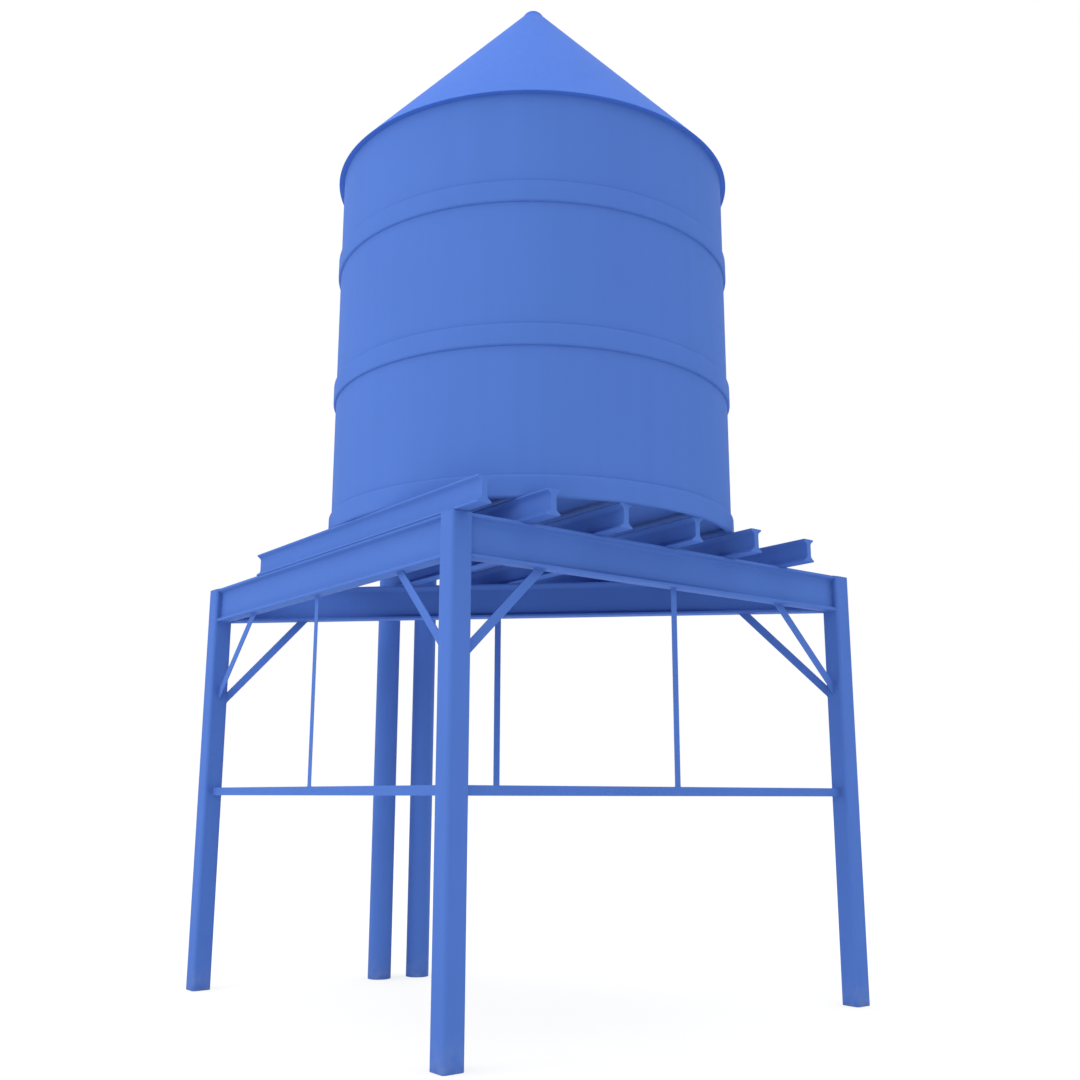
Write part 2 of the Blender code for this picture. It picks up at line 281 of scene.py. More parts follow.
class Wiring:
    """Short ways to add one node and wire it."""

    @staticmethod
    def plug(tree: bpy.types.NodeTree, value: object, socket: bpy.types.NodeSocket) -> None:
        """Link a socket to another, or set it to a plain value.

        Args:
            tree: The tree that holds both.
            value: An output socket, or a number or colour.
            socket: The input to feed.
        """
        if isinstance(value, bpy.types.NodeSocket):
            tree.links.new(value, socket)
        else:
            socket.default_value = value

    @classmethod
    def maths(
        cls,
        tree: bpy.types.NodeTree,
        operation: str,
        first: object,
        second: object,
        clamp: bool = False,
    ) -> bpy.types.NodeSocket:
        """Add a Math node.

        Args:
            tree: The tree to add to.
            operation: The Math node's operation.
            first: A socket or number.
            second: A socket or number.
            clamp: Keep the result between 0 and 1.

        Returns:
            The node's output.
        """
        node = tree.nodes.new("ShaderNodeMath")
        node.operation = operation
        node.use_clamp = clamp
        cls.plug(tree, first, node.inputs[0])
        cls.plug(tree, second, node.inputs[1])
        return node.outputs[0]

    @classmethod
    def noise(
        cls, tree: bpy.types.NodeTree, vector: object, scale: object, detail: float
    ) -> bpy.types.NodeSocket:
        """Add a Noise texture.

        Args:
            tree: The tree to add to.
            vector: The place to read it at.
            scale: Cells per metre.
            detail: How many finer octaves it has.

        Returns:
            The noise value, about 0.5 on average.
        """
        node = tree.nodes.new("ShaderNodeTexNoise")
        node.inputs["Detail"].default_value = detail
        cls.plug(tree, vector, node.inputs["Vector"])
        cls.plug(tree, scale, node.inputs["Scale"])
        return node.outputs["Fac"]

    @classmethod
    def scaled(
        cls, tree: bpy.types.NodeTree, vector: object, factors: tuple[float, float, float]
    ) -> bpy.types.NodeSocket:
        """Stretch a vector by three factors and return the result.

        Args:
            tree: The tree to add to.
            vector: The vector to stretch.
            factors: One factor for each axis.

        Returns:
            The stretched vector.
        """
        node = tree.nodes.new("ShaderNodeVectorMath")
        node.operation = "MULTIPLY"
        cls.plug(tree, vector, node.inputs[0])
        node.inputs[1].default_value = factors
        return node.outputs["Vector"]

    @classmethod
    def around_zero(
        cls, tree: bpy.types.NodeTree, value: object, amount: object
    ) -> bpy.types.NodeSocket:
        """Turn a noise value into a swing about zero, as wide as the amount.

        Args:
            tree: The tree to add to.
            value: A socket between 0 and 1.
            amount: Half the width of the swing.

        Returns:
            A value from minus to plus the amount.
        """
        centred = cls.maths(tree, "SUBTRACT", value, 0.5)
        doubled = cls.maths(tree, "MULTIPLY", centred, 2.0)
        return cls.maths(tree, "MULTIPLY", doubled, amount)

    @classmethod
    def ramped(
        cls, tree: bpy.types.NodeTree, value: object, start: float, end: float
    ) -> bpy.types.NodeSocket:
        """Map a value from start..end to 0..1, held at both ends.

        Args:
            tree: The tree to add to.
            value: The value to map.
            start: What becomes 0.
            end: What becomes 1; it may be the smaller one.

        Returns:
            The mapped value.
        """
        node = tree.nodes.new("ShaderNodeMapRange")
        node.clamp = True
        cls.plug(tree, value, node.inputs["Value"])
        node.inputs["From Min"].default_value = start
        node.inputs["From Max"].default_value = end
        return node.outputs["Result"]

    @classmethod
    def mixed(
        cls, tree: bpy.types.NodeTree, share: object, under: object, over: object
    ) -> bpy.types.NodeSocket:
        """Lay one colour over another by a mask and return the colour.

        Args:
            tree: The tree to add to.
            share: How much of the upper colour shows.
            under: The lower colour.
            over: The upper colour.

        Returns:
            The mixed colour.
        """
        node = tree.nodes.new("ShaderNodeMix")
        node.data_type = "RGBA"
        cls.plug(tree, share, node.inputs[MIX_SHARE])
        cls.plug(tree, under, node.inputs[MIX_UNDER])
        cls.plug(tree, over, node.inputs[MIX_OVER])
        return node.outputs[MIX_RESULT]

    @staticmethod
    def placed(
        tree: bpy.types.NodeTree, group: bpy.types.NodeTree, values: dict[str, object]
    ) -> bpy.types.Node:
        """Put a shader group in a material.

        Args:
            tree: The material's tree.
            group: The shader group.
            values: What each named input gets, a socket or a value.

        Returns:
            The group node.
        """
        node = tree.nodes.new("ShaderNodeGroup")
        node.node_tree = group
        for label, value in values.items():
            Wiring.plug(tree, value, node.inputs[label])
        return node


# Finishes


class Sheen(Enum):
    """How matte a coat is, as its roughness."""

    MATTE = 0.66
    RUBBED = 0.54


@dataclass(frozen=True)
class Coating:
    """The tower's blue coat, as it has aged on one kind of piece, with painted shade in its corners
    and a painted highlight along its edges.
    """

    name: str
    sheen: Sheen = Sheen.MATTE
    colour: tuple[float, float, float, float] = (0.0647, 0.1438, 0.4480, 1.0)
    # A lighter blue on the edges: worn paint and a painted highlight
    worn_highlight_colour: tuple[float, float, float, float] = (0.120, 0.220, 0.580, 1.0)
    # Dark blue laid into corners and under ledges as painted shade
    painted_shade_colour: tuple[float, float, float, float] = (0.016, 0.036, 0.140, 1.0)
    dust_colour: tuple[float, float, float, float] = (0.230, 0.260, 0.380, 1.0)
    grain_size: float = 0.005
    grain_depth: float = 0.00022
    wave_share: float = 0.5
    clouds: float = 0.05
    streaks: float = 0.03
    # Edge wear with a painted highlight: its width and strength
    wear_and_highlight_width: float = 0.006
    wear_and_highlight: float = 0.35
    # Painted shade in corners: how far it reaches and how strong it is
    painted_shade_reach: float = 0.08
    painted_shade: float = 0.28
    tone_swing: float = 0.10
    gloss: float = 0.03
    dust_height: float = 0.30
    dust: float = 0.0

    def material(self) -> bpy.types.Material:
        """The material of this coat, made once.

        Returns:
            A Principled material wired to the shared effects.
        """
        known = bpy.data.materials.get(self.name)
        if known is not None:
            return known
        material = bpy.data.materials.new(self.name)
        material.use_nodes = True
        tree = material.node_tree
        shader = next(n for n in tree.nodes if n.bl_idname == "ShaderNodeBsdfPrincipled")
        shader.inputs["Metallic"].default_value = 0.0
        shader.inputs["Specular IOR Level"].default_value = self.gloss
        place = tree.nodes.new("ShaderNodeTexCoord").outputs["Object"]
        grain = Wiring.placed(
            tree,
            Effects.grain(),
            {"Vector": place, "Grain Size": self.grain_size, "Wave Share": self.wave_share},
        )
        tree.links.new(self._tint(tree, place), shader.inputs["Base Color"])
        tree.links.new(self._roughness(tree, grain), shader.inputs["Roughness"])
        bump = tree.nodes.new("ShaderNodeBump")
        bump.inputs["Strength"].default_value = 1.0
        bump.inputs["Distance"].default_value = self.grain_depth
        tree.links.new(grain.outputs["Height"], bump.inputs["Height"])
        tree.links.new(bump.outputs["Normal"], shader.inputs["Normal"])
        return material

    def _tint(
        self, tree: bpy.types.NodeTree, place: bpy.types.NodeSocket
    ) -> bpy.types.NodeSocket:
        """Layer weathering, painted corner shade, edge wear with a painted highlight, and dust over
        the coat's colour.

        Args:
            tree: The material's tree.
            place: Where on the piece the effects are read.

        Returns:
            The colour for the shader.
        """
        weather = Wiring.placed(
            tree,
            Effects.weathering(),
            {
                "Vector": place,
                "Colour": self.colour,
                "Cloud Amount": self.clouds,
                "Streak Amount": self.streaks,
            },
        )
        painted_shade = Wiring.placed(
            tree,
            Effects.painted_shade(),
            {"Vector": place, "Reach": self.painted_shade_reach, "Amount": self.painted_shade},
        )
        wear_and_highlight = Wiring.placed(
            tree,
            Effects.edge_wear_and_highlight(),
            {"Vector": place, "Width": self.wear_and_highlight_width, "Amount": self.wear_and_highlight},
        )
        # Painted shade: hidden corners and undersides darken towards the dark blue
        tint = Wiring.mixed(
            tree, painted_shade.outputs["Mask"], weather.outputs["Colour"], self.painted_shade_colour
        )
        # Edges lighten towards the lighter blue, as worn paint and as a painted highlight
        tint = Wiring.mixed(tree, wear_and_highlight.outputs["Mask"], tint, self.worn_highlight_colour)
        if self.dust > 0.0:
            dust = Wiring.placed(
                tree,
                Effects.ground_dust(),
                {"Vector": place, "Height": self.dust_height, "Amount": self.dust},
            )
            tint = Wiring.mixed(tree, dust.outputs["Mask"], tint, self.dust_colour)
        return tint

    def _roughness(
        self, tree: bpy.types.NodeTree, grain: bpy.types.Node
    ) -> bpy.types.NodeSocket:
        """Let the coat's roughness follow its longer wave.

        Args:
            tree: The material's tree.
            grain: The grain group in that tree.

        Returns:
            The roughness for the shader.
        """
        swing = Wiring.around_zero(tree, grain.outputs["Tone"], self.tone_swing)
        return Wiring.maths(tree, "ADD", swing, self.sheen.value, clamp=True)


# Each coat sets how strongly its corners take painted shade and its edges a painted highlight
TANK_COAT = Coating("tank_coat", clouds=0.04, streaks=0.035, painted_shade=0.06)
ROOF_COAT = Coating(
    "roof_coat", colour=(0.0573, 0.1480, 0.5250, 1.0), clouds=0.04, streaks=0.02, wear_and_highlight=0.25
)
HOOP_COAT = Coating("hoop_coat", clouds=0.05, wear_and_highlight=0.6, painted_shade=0.02, grain_size=0.004)
BEAM_COAT = Coating("beam_coat", grain_size=0.007, grain_depth=0.0004, wear_and_highlight=0.3, streaks=0.02)
LEG_COAT = Coating("leg_coat", grain_size=0.006, wear_and_highlight=0.45, dust=0.30)
BAR_COAT = Coating("bar_coat", Sheen.RUBBED, grain_size=0.004, wear_and_highlight=0.5)
PIPE_COAT = Coating("pipe_coat", Sheen.RUBBED, wear_and_highlight=0.3, clouds=0.06, dust=0.30)
WELD_COAT = Coating("weld_coat", Sheen.RUBBED, grain_size=0.003, wear_and_highlight=0.6)


# Meshes


def loft(rings: Sequence[Sequence[Vector]], closed: bool = False) -> bmesh.types.BMesh:
    """Skin through rings of points.

    Args:
        rings: Rings with the same number of points each.
        closed: Join the last ring to the first in place of capping both.

    Returns:
        A closed mesh builder.
    """
    builder = bmesh.new()
    loops = [[builder.verts.new(point) for point in ring] for ring in rings]
    pairs = list(zip(loops, loops[1:]))
    if closed:
        pairs.append((loops[-1], loops[0]))
    for here, there in pairs:
        for j in range(len(here)):
            k = (j + 1) % len(here)
            builder.faces.new((here[j], here[k], there[k], there[j]))
    if not closed:
        builder.faces.new(loops[0])
        builder.faces.new(loops[-1])
    return builder


def turned(profile: Section, facets: int) -> bmesh.types.BMesh:
    """Turn a closed profile about +Z.

    Args:
        profile: Corners as (radius, height); radius 0 lies on the axis.
        facets: Steps around one full turn.

    Returns:
        A closed mesh builder about the origin.
    """
    builder = bmesh.new()
    poles = {j: builder.verts.new((0.0, 0.0, z)) for j, (r, z) in enumerate(profile) if r == 0.0}
    columns = []
    for i in range(facets):
        angle = 2.0 * pi * i / facets
        column = []
        for j, (r, z) in enumerate(profile):
            if j in poles:
                column.append(poles[j])
            else:
                column.append(builder.verts.new((r * cos(angle), r * sin(angle), z)))
        columns.append(column)
    for i in range(facets):
        here, there = columns[i], columns[(i + 1) % facets]
        for j in range(len(profile)):
            k = (j + 1) % len(profile)
            corners = list(dict.fromkeys((here[j], here[k], there[k], there[j])))
            if len(corners) > 2:
                builder.faces.new(corners)
    return builder


def arc(
    middle: tuple[float, float], radius: float, start: float, end: float, steps: int
) -> Section:
    """Points on a circle's arc in a section's plane, both ends included.

    Args:
        middle: The circle's centre.
        radius: Its radius.
        start: First angle, in radians.
        end: Last angle, in radians.
        steps: Steps between them.

    Returns:
        The points, in order from start to end.
    """
    angles = [start + (end - start) * i / steps for i in range(steps + 1)]
    return [(middle[0] + radius * cos(a), middle[1] + radius * sin(a)) for a in angles]


def curve(start: Vector, bend: Vector, end: Vector, steps: int) -> Path:
    """Points on a quadratic curve that leaves start towards bend and comes in to end.

    Args:
        start: First point.
        bend: The point that both ends head for.
        end: Last point.
        steps: Steps between the ends.

    Returns:
        The points, both ends included.
    """
    points = []
    for i in range(steps + 1):
        t = i / steps
        points.append(start * (1 - t) ** 2 + bend * (2 * t * (1 - t)) + end * t**2)
    return points


@dataclass(frozen=True)
class Piece:
    """One shown piece of the tower: its name, its coat and the frame nodes it stands for."""

    name: str
    coat: Coating
    nodes: tuple[str, ...] = ()
    edge: float = 0.0

    def show(self, builder: bmesh.types.BMesh, place: Matrix = Matrix.Identity(4)) -> None:
        """Finish a mesh and hand it to the frame.

        Args:
            builder: The piece's mesh; it is freed.
            place: Where it goes, in the frame's axes.
        """
        bmesh.ops.recalc_face_normals(builder, faces=builder.faces)
        mesh = bpy.data.meshes.new(self.name)
        builder.to_mesh(mesh)
        builder.free()
        mesh.transform(place)
        mesh.shade_smooth()
        mesh.set_sharp_from_angle(angle=SHARP_ANGLE)
        mesh.materials.append(self.coat.material())
        shown = bpy.data.objects.new(self.name, mesh)
        bpy.context.scene.collection.objects.link(shown)
        if self.edge > 0.0:
            self._ease_edges(shown)
        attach(shown, BODY)
        if self.nodes:
            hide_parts(*self.nodes)
        stands_for = ", ".join(self.nodes) or "no node"
        log.info("%s: %d faces, for %s", self.name, len(mesh.polygons), stands_for)

    def _ease_edges(self, shown: bpy.types.Object) -> None:
        """Round the sharp edges a little and keep the flats flat.

        Args:
            shown: The piece, before it rides the body.
        """
        bevel = shown.modifiers.new("eased_edges", "BEVEL")
        bevel.width = self.edge
        bevel.segments = 2
        bevel.limit_method = "ANGLE"
        bevel.angle_limit = SHARP_ANGLE
        bevel.miter_outer = "MITER_ARC"
        bevel.use_clamp_overlap = True
        normals = shown.modifiers.new("flat_normals", "WEIGHTED_NORMAL")
        normals.keep_sharp = True


@dataclass(frozen=True)
class WeldBead:
    """A rippled fillet weld, laid along paths."""

    radius: float = 0.0045
    ripple: float = 0.12
    ripple_steps: float = 3.0
    step: float = 1.3
    sides: int = 8

    def lay(self, piece: Piece, paths: Iterable[Path]) -> None:
        """Lay closed beads and show them as one piece.

        Args:
            piece: What the beads are called and coated with.
            paths: The corners of each closed path.
        """
        whole = bmesh.new()
        for path in paths:
            bead = self._bead(self._resampled(path))
            part = bpy.data.meshes.new("bead")
            bead.to_mesh(part)
            bead.free()
            whole.from_mesh(part)
            bpy.data.meshes.remove(part)
        piece.show(whole)

    def _resampled(self, path: Path) -> Path:
        """Even steps along a closed path, about one bead radius long.

        Args:
            path: The path's corners.

        Returns:
            The corners with the steps between them.
        """
        points: Path = []
        for start, end in zip(path, path[1:] + path[:1]):
            steps = max(1, ceil((end - start).length / (self.radius * self.step)))
            points += [start.lerp(end, i / steps) for i in range(steps)]
        return points

    def _bead(self, points: Path) -> bmesh.types.BMesh:
        """A closed tube along points, its radius rippling.

        Args:
            points: The middle line, closed.

        Returns:
            The bead's mesh builder.
        """
        rings = []
        count = len(points)
        for i, point in enumerate(points):
            along = (points[(i + 1) % count] - points[i - 1]).normalized()
            side = self._side(along)
            across = along.cross(side)
            radius = self.radius * (1.0 + self.ripple * cos(2.0 * pi * i / self.ripple_steps))
            ring = []
            for j in range(self.sides):
                angle = 2.0 * pi * j / self.sides
                ring.append(point + radius * (cos(angle) * side + sin(angle) * across))
            rings.append(ring)
        return loft(rings, closed=True)

    @staticmethod
    def _side(along: Vector) -> Vector:
        """A direction square to the path that turns as little as it can.

        Args:
            along: The path's direction.

        Returns:
            A unit vector square to it.
        """
        guide = Vector((0.31, 0.27, 0.91))
        return (guide - guide.dot(along) * along).normalized()


# The stand


class LegFace(Enum):
    """What a bar meets on a leg: a flat face, or the rounded corner on the diagonal."""

    FLAT = "flat"
    CORNER = "corner"


def leg_axis(name: str) -> Vector:
    """The foot of a leg's axis, from the frame.

    Args:
        name: The leg's node.

    Returns:
        The point on the ground under the leg's centre.
    """
    low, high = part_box(name)
    return Vector(((low.x + high.x) / 2, (low.y + high.y) / 2, 0.0))


@dataclass(frozen=True)
class StandSide:
    """One side of the stand: the upright plane between two legs."""

    name: str
    start_leg: str
    end_leg: str
    face: LegFace

    def span(self) -> float:
        """Distance between the two legs' axes."""
        return (leg_axis(self.end_leg) - leg_axis(self.start_leg)).length

    def place(self, distance: float = 0.0, from_end: bool = False) -> Matrix:
        """Axes on this side: +X along it, +Z up, +Y across it.

        Args:
            distance: How far along from the leg the origin stands.
            from_end: Start at the end leg and look back.

        Returns:
            The placing matrix, with its origin on the ground.
        """
        start, end = leg_axis(self.start_leg), leg_axis(self.end_leg)
        if from_end:
            start, end = end, start
        along = (end - start).normalized()
        across = Vector((-along.y, along.x, 0.0))
        turn = Matrix((along, across, Vector((0.0, 0.0, 1.0)))).transposed().to_4x4()
        return Matrix.Translation(start + along * distance) @ turn


SIDES = (
    StandSide("front_left", "front_leg", "left_leg", LegFace.FLAT),
    StandSide("front_right", "front_leg", "right_leg", LegFace.FLAT),
    StandSide("back", "left_leg", "right_leg", LegFace.CORNER),
)


@dataclass(frozen=True)
class RolledSection:
    """An I section with sloping flanges, rounded toes and round fillets at the web."""

    depth: float
    flange: float
    web: float
    tip: float
    root: float
    toe: float = 0.004
    edge: float = 0.002
    edge_steps: int = 2
    toe_steps: int = 3
    fillet: float = 0.75
    fillet_steps: int = 6

    def outline(self) -> Section:
        """The section's outline as (across, height) from its foot.

        Returns:
            Corners in order around the section.
        """
        quarter = self._quarter()
        right = quarter + [(x, self.depth - z) for x, z in reversed(quarter)]
        return right + [(-x, z) for x, z in reversed(right)]

    def _quarter(self) -> Section:
        """The lower right quarter, from the flange's underside up to the web.

        Returns:
            Corners as (across, height).
        """
        half = self.flange / 2
        slope = (self.root - self.tip) / (half - self.web / 2)
        lean = hypot(1.0, slope)
        low = arc((half - self.edge, self.edge), self.edge, -pi / 2, 0.0, self.edge_steps)
        ease = self.toe * (lean + slope)
        toe = curve(
            Vector((half, self.tip - self.toe)),
            Vector((half, self.tip)),
            Vector((half - ease / lean, self.tip + ease / lean * slope)),
            self.toe_steps,
        )
        reach = (self.root - self.tip) * self.fillet
        start = Vector((self.web / 2 + reach, self.root - reach * slope))
        fillet = curve(
            start,
            Vector((self.web / 2, self.root)),
            Vector((self.web / 2, self.root + reach)),
            self.fillet_steps,
        )
        return low + [(v.x, v.y) for v in toe + fillet]

    def beam(self, length: float, mitre: float = 0.0) -> bmesh.types.BMesh:
        """A straight beam along +X, its foot on z = 0.

        Args:
            length: Length on the middle line.
            mitre: 1 slants both ends by 45 degrees in plan.

        Returns:
            The beam's mesh builder.
        """
        outline = self.outline()
        near = [Vector((-mitre * y, y, z)) for y, z in outline]
        far = [Vector((length + mitre * y, y, z)) for y, z in outline]
        return loft([near, far])

    def end_path(self, place: Matrix, at: float) -> Path:
        """The outline as a closed path where the beam ends, in the frame's axes."""
        return [place @ Vector((at, y, z)) for y, z in self.outline()]


@dataclass(frozen=True)
class Legs:
    """Three square tubes with rounded corners, plain at both ends."""

    width: float = 0.168
    corner: float = 0.028
    top: float = 3.518
    corner_steps: int = 10
    edge: float = 0.003

    def seat(self, face: LegFace) -> float:
        """Distance from the axis to the face or corner that a bar meets.

        Args:
            face: What the bar meets.

        Returns:
            The distance in metres.
        """
        if face is LegFace.FLAT:
            return self.width / 2
        return (self.width / 2 - self.corner) * sqrt(2.0) + self.corner

    def outline(self) -> Section:
        """The square's outline with its corners rounded.

        Returns:
            Corners as (x, y) about the axis.
        """
        inner = self.width / 2 - self.corner
        points: Section = []
        for quarter, (sx, sy) in enumerate(((1, 1), (-1, 1), (-1, -1), (1, -1))):
            start = quarter * pi / 2
            points += arc(
                (sx * inner, sy * inner), self.corner, start, start + pi / 2, self.corner_steps
            )
        return points

    def build(self) -> None:
        """Build and show the three legs."""
        for node in ("front_leg", "left_leg", "right_leg"):
            rings = [[Vector((x, y, z)) for x, y in self.outline()] for z in (0.0, self.top)]
            place = Matrix.Translation(leg_axis(node))
            Piece(node + "_tube", LEG_COAT, (node,), self.edge).show(loft(rings), place)


@dataclass(frozen=True)
class Girders:
    """The deep beams between the legs, welded on at their ends."""

    legs: Legs
    section: RolledSection = RolledSection(0.300, 0.128, 0.046, 0.020, 0.040)
    gap: float = 0.0003

    def bottom(self) -> float:
        """Height of the girders' undersides."""
        return self.legs.top - self.section.depth

    def build(self) -> None:
        """Build and show the girders and the welds at their ends."""
        welds = []
        for side in SIDES:
            flat = side.face is LegFace.FLAT
            seat = (self.legs.width / 2 + self.gap) * (1.0 if flat else sqrt(2.0))
            mitre = 0.0 if flat else 1.0
            place = side.place(seat) @ Matrix.Translation((0.0, 0.0, self.bottom()))
            length = side.span() - 2 * seat
            node = side.name + "_girder"
            Piece(node + "_beam", BEAM_COAT, (node,)).show(self.section.beam(length, mitre), place)
            if flat:
                welds.append(self.section.end_path(place, 0.0))
                welds.append(self.section.end_path(place, length))
        WeldBead().lay(Piece("girder_welds", WELD_COAT), welds)


@dataclass(frozen=True)
class Joists:
    """The smaller beams laid over the girders, under the tank."""

    section: RolledSection = RolledSection(0.184, 0.111, 0.044, 0.012, 0.034, toe=0.003)
    count: int = 6

    def build(self) -> None:
        """Build and show the joists where the frame has them."""
        for number in range(1, self.count + 1):
            node = f"joist_{number}"
            low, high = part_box(node)
            place = Matrix.Translation(((low.x + high.x) / 2, low.y, low.z))
            turn = Matrix.Rotation(pi / 2, 4, "Z")
            beam = self.section.beam(high.y - low.y)
            Piece(node + "_beam", BEAM_COAT, (node,)).show(beam, place @ turn)


@dataclass(frozen=True)
class FlatBars:
    """The struts, hangers and knee braces: flat bars with eased edges."""

    legs: Legs
    girder_bottom: float
    bar_width: float = 0.067
    bar_thickness: float = 0.010
    strut_bottom: float = 1.653
    hanger_width: float = 0.055
    hanger_thickness: float = 0.005
    gap: float = 0.0003
    edge: float = 0.0012
    hangers_at: tuple[tuple[str, float], ...] = (
        ("front_left", 0.506),
        ("front_right", 0.508),
        ("back", 0.468),
    )
    braces_at: tuple[tuple[str, float, float], ...] = (
        ("front_left", 2.500, 2.464),
        ("front_right", 2.500, 2.464),
        ("back", 2.418, 2.428),
    )

    def build(self) -> None:
        """Build and show every flat bar and its end welds."""
        self._struts_and_hangers()
        self._braces()

    def _bar(self, piece: Piece, corners: Section, thickness: float, place: Matrix) -> None:
        """Show one flat bar from its corners as (along, height).

        Args:
            piece: The bar's name, coat, node and eased edge.
            corners: The bar's four corners, as (along, height).
            thickness: How thick it is.
            place: The axes of its side of the stand.
        """
        rings = []
        for side in (-0.5, 0.5):
            rings.append([Vector((x, side * thickness, z)) for x, z in corners])
        piece.show(loft(rings), place)

    def _end(self, place: Matrix, start: Vector, end: Vector, thickness: float) -> Path:
        """A closed path around a flat bar's cut end, from one edge to the other.

        Args:
            place: The axes of its side of the stand.
            start: One edge of the end, in those axes.
            end: The other edge.
            thickness: How thick the bar is.

        Returns:
            Four corners in the frame's axes.
        """
        across = Vector((0.0, thickness / 2, 0.0))
        corners = (start - across, end - across, end + across, start + across)
        return [place @ corner for corner in corners]

    def _struts_and_hangers(self) -> None:
        """The level bars between the legs and the thin flats they hang from."""
        welds = []
        low, high = self.strut_bottom, self.strut_bottom + self.bar_width
        top = self.girder_bottom - self.gap
        shares = dict(self.hangers_at)
        for side in SIDES:
            seat = self.legs.seat(side.face) + self.gap
            span = side.span()
            place = side.place()
            node = side.name + "_strut"
            corners = [(seat, low), (span - seat, low), (span - seat, high), (seat, high)]
            piece = Piece(node + "_bar", BAR_COAT, (node,), self.edge)
            self._bar(piece, corners, self.bar_thickness, place)
            for x in (seat, span - seat):
                start, end = Vector((x, 0.0, low)), Vector((x, 0.0, high))
                welds.append(self._end(place, start, end, self.bar_thickness))
            middle = side.place(span * shares[side.name])
            half = self.hanger_width / 2
            node = side.name + "_hanger"
            foot = high + self.gap
            corners = [(-half, foot), (half, foot), (half, top), (-half, top)]
            piece = Piece(node + "_flat", BAR_COAT, (node,), self.edge)
            self._bar(piece, corners, self.hanger_thickness, middle)
            for z in (foot, top):
                start, end = Vector((-half, 0.0, z)), Vector((half, 0.0, z))
                welds.append(self._end(middle, start, end, self.hanger_thickness))
        WeldBead(0.0035).lay(Piece("strut_welds", WELD_COAT), welds)

    def _braces(self) -> None:
        """The 45 degree bars, cut plumb at the leg and level under the girder."""
        welds = []
        half = self.bar_width / sqrt(2.0)
        top = self.girder_bottom - self.gap
        for side, (_, start_height, end_height) in zip(SIDES, self.braces_at):
            seat = self.legs.seat(side.face) + self.gap
            ends = ((side.start_leg, start_height, False), (side.end_leg, end_height, True))
            for leg, height, from_end in ends:
                low, high = height - half, height + half
                corners = [
                    (seat, low + seat), (top - low, top), (top - high, top), (seat, high + seat)
                ]
                node = f"{leg}_brace_{side.name}"
                place = side.place(0.0, from_end)
                piece = Piece(node + "_bar", BAR_COAT, (node,), self.edge)
                self._bar(piece, corners, self.bar_thickness, place)
                points = [Vector((x, 0.0, z)) for x, z in corners]
                welds.append(self._end(place, points[0], points[3], self.bar_thickness))
                welds.append(self._end(place, points[1], points[2], self.bar_thickness))
        WeldBead(0.0035).lay(Piece("brace_welds", WELD_COAT), welds)


# The tank


